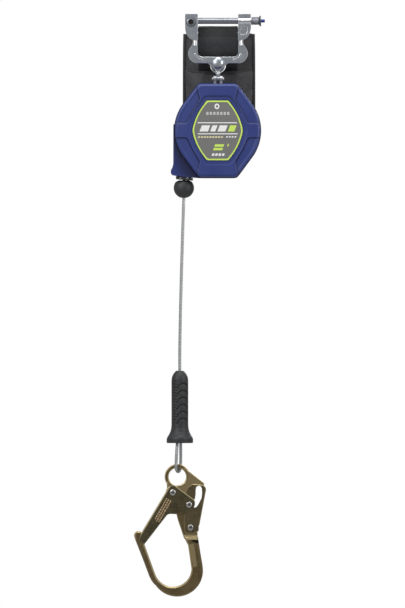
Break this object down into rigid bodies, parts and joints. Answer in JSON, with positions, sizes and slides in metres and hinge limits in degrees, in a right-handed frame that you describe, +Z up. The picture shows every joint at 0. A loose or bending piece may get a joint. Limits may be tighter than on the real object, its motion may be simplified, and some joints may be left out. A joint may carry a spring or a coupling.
{
  "type": "self retracting lifeline",
  "caption": "Personal self-retracting lifeline: harness connector, swivel, energy absorber pouch, cable drum housing, wire cable with grip and a large double-locking hook.",
  "frame": {"origin": "centre of the connector pin that goes through the harness webbing", "axes": "+X along the pin towards its knob, -Y out of the front cover, +Z up, away from the hook"},
  "size_m": [0.2342, 0.106, 1.0411],
  "materials": {
    "anodised_aluminium": "clear-anodised forged aluminium",
    "knob_aluminium": "turned and knurled aluminium",
    "plated_steel": "zinc-plated steel",
    "frame_steel": "plain rolled steel",
    "spring_steel": "blued spring steel",
    "bushing_brass": "sintered bronze",
    "housing_blue": "fine-grained moulded blue plastic",
    "label_grey": null,
    "guide_black": "black moulded plastic",
    "black_rubber": "black moulded rubber",
    "black_webbing": "ribbed woven webbing",
    "pouch_fabric": "plain woven nylon",
    "binding_tape": "folded edge tape",
    "wire_rope": "stranded galvanised wire rope",
    "swage_aluminium": "pressed sleeve",
    "hook_bronze": "yellow-chromated forged steel",
    "gate_olive": "dark olive-chromated pressed steel",
    "rivet_steel": "rolled rivet heads"
  },
  "bodies": {
    "connector": {"connector_frame": "anodised_aluminium", "lug_insert": "plated_steel", "absorber_bar": "plated_steel"},
    "pin": {"connector_pin": "plated_steel", "pin_knob": "knob_aluminium", "button_spring": "spring_steel"},
    "button": {"lock_button": "plated_steel"},
    "swivel": {"swivel_stud": "plated_steel"},
    "absorber": {"absorber_strap": "black_webbing", "absorber_pouch": "pouch_fabric", "absorber_pack": "black_webbing", "left_binding": "binding_tape", "right_binding": "binding_tape"},
    "housing": {"front_cover": "housing_blue", "front_label": "label_grey", "rear_cover": "housing_blue", "load_frame": "frame_steel", "power_spring": "spring_steel", "ratchet_ring": "frame_steel", "cover_screw_1": "plated_steel", "cover_screw_2": "plated_steel", "cover_screw_3": "plated_steel", "cover_screw_4": "plated_steel", "clevis_pin": "plated_steel", "clevis_pin_cap": "plated_steel", "main_shaft": "plated_steel", "shaft_nut": "plated_steel", "cable_guide": "guide_black", "roller_pin_left": "plated_steel", "roller_pin_right": "plated_steel"},
    "drum": {"cable_drum": "anodised_aluminium", "cable_winding": "wire_rope", "drum_bushing": "bushing_brass", "spring_case": "frame_steel", "spring_cover": "frame_steel", "pawl_pin_upper": "plated_steel", "pawl_pin_lower": "plated_steel"},
    "roller_left": {"guide_roller_left": "plated_steel"},
    "roller_right": {"guide_roller_right": "plated_steel"},
    "pawl_upper": {"pawl_upper": "frame_steel"},
    "pawl_lower": {"pawl_lower": "frame_steel"},
    "line": {"ball_stop": "black_rubber", "stop_ferrule": "swage_aluminium", "cable_run": "wire_rope", "cable": "wire_rope", "cable_grip": "black_rubber", "swage_sleeve": "swage_aluminium", "cable_eye": "wire_rope", "thimble": "plated_steel"},
    "hook": {"hook_body": "hook_bronze", "gate_rivet": "rivet_steel", "lever_rivet": "rivet_steel", "gate_spring": "spring_steel", "lever_spring": "spring_steel"},
    "gate": {"hook_gate": "gate_olive", "tail_rivet_front": "rivet_steel", "tail_rivet_rear": "rivet_steel"},
    "lever": {"lock_lever": "hook_bronze"}
  },
  "joints": [
    {"name": "pin_slide", "type": "slide", "parent": "connector", "child": "pin", "axis": [1, 0, 0], "range_m": [0, 0.092]},
    {"name": "button_press", "type": "slide", "parent": "pin", "child": "button", "axis": [-1, 0, 0], "range_m": [0, 0.003], "stiffness_N_per_m": 400, "springref_m": -0.002},
    {"name": "swivel_turn", "type": "hinge", "parent": "connector", "child": "swivel", "pos_m": [0, 0, -0.0797], "axis": [0, 0, 1], "range_deg": [-8, 8]},
    {"name": "housing_swing", "type": "hinge", "parent": "swivel", "child": "housing", "pos_m": [0, 0, -0.1047], "axis": [-1, 0, 0], "range_deg": [0, 60]},
    {"name": "absorber_swing", "type": "hinge", "parent": "connector", "child": "absorber", "pos_m": [0, 0.014, -0.016], "axis": [1, 0, 0], "range_deg": [0, 60]},
    {"name": "cable_payout", "type": "slide", "parent": "housing", "child": "line", "axis": [0, 0, -1], "range_m": [0, 1.8], "stiffness_N_per_m": 3, "springref_m": -8, "deforming": ["cable_run"]},
    {"name": "drum_spin", "type": "hinge", "parent": "housing", "child": "drum", "pos_m": [0, 0, -0.196], "axis": [0, -1, 0], "continuous": true},
    {"name": "roller_left_spin", "type": "hinge", "parent": "housing", "child": "roller_left", "pos_m": [-0.06735, 0, -0.2812], "axis": [0, 1, 0], "continuous": true},
    {"name": "roller_right_spin", "type": "hinge", "parent": "housing", "child": "roller_right", "pos_m": [-0.05465, 0, -0.2812], "axis": [0, -1, 0], "continuous": true},
    {"name": "pawl_upper_swing", "type": "hinge", "parent": "drum", "child": "pawl_upper", "pos_m": [0, 0, -0.158], "axis": [0, -1, 0], "range_deg": [0, 18], "stiffness_Nm_per_rad": 0.01, "springref_deg": -11.46},
    {"name": "pawl_lower_swing", "type": "hinge", "parent": "drum", "child": "pawl_lower", "pos_m": [0, 0, -0.234], "axis": [0, -1, 0], "range_deg": [0, 18], "stiffness_Nm_per_rad": 0.01, "springref_deg": -11.46},
    {"name": "hook_swing", "type": "hinge", "parent": "line", "child": "hook", "pos_m": [-0.0727, 0, -0.8157], "axis": [0, 1, 0], "range_deg": [-12, 30]},
    {"name": "gate_open", "type": "hinge", "parent": "hook", "child": "gate", "pos_m": [-0.0809, 0, -0.8438], "axis": [0, -1, 0], "range_deg": [0, 40], "stiffness_Nm_per_rad": 0.3, "springref_deg": -17.19},
    {"name": "lever_press", "type": "hinge", "parent": "hook", "child": "lever", "pos_m": [-0.0491, 0, -0.9065], "axis": [0, -1, 0], "range_deg": [0, 8], "stiffness_Nm_per_rad": 1, "springref_deg": -5.73}
  ],
  "couplings": [
    {"joint": "drum_spin", "follows": "cable_payout", "rad_per_m": 16.393},
    {"joint": "roller_left_spin", "follows": "cable_payout", "rad_per_m": 312.5},
    {"joint": "roller_right_spin", "follows": "cable_payout", "rad_per_m": 312.5}
  ]
}
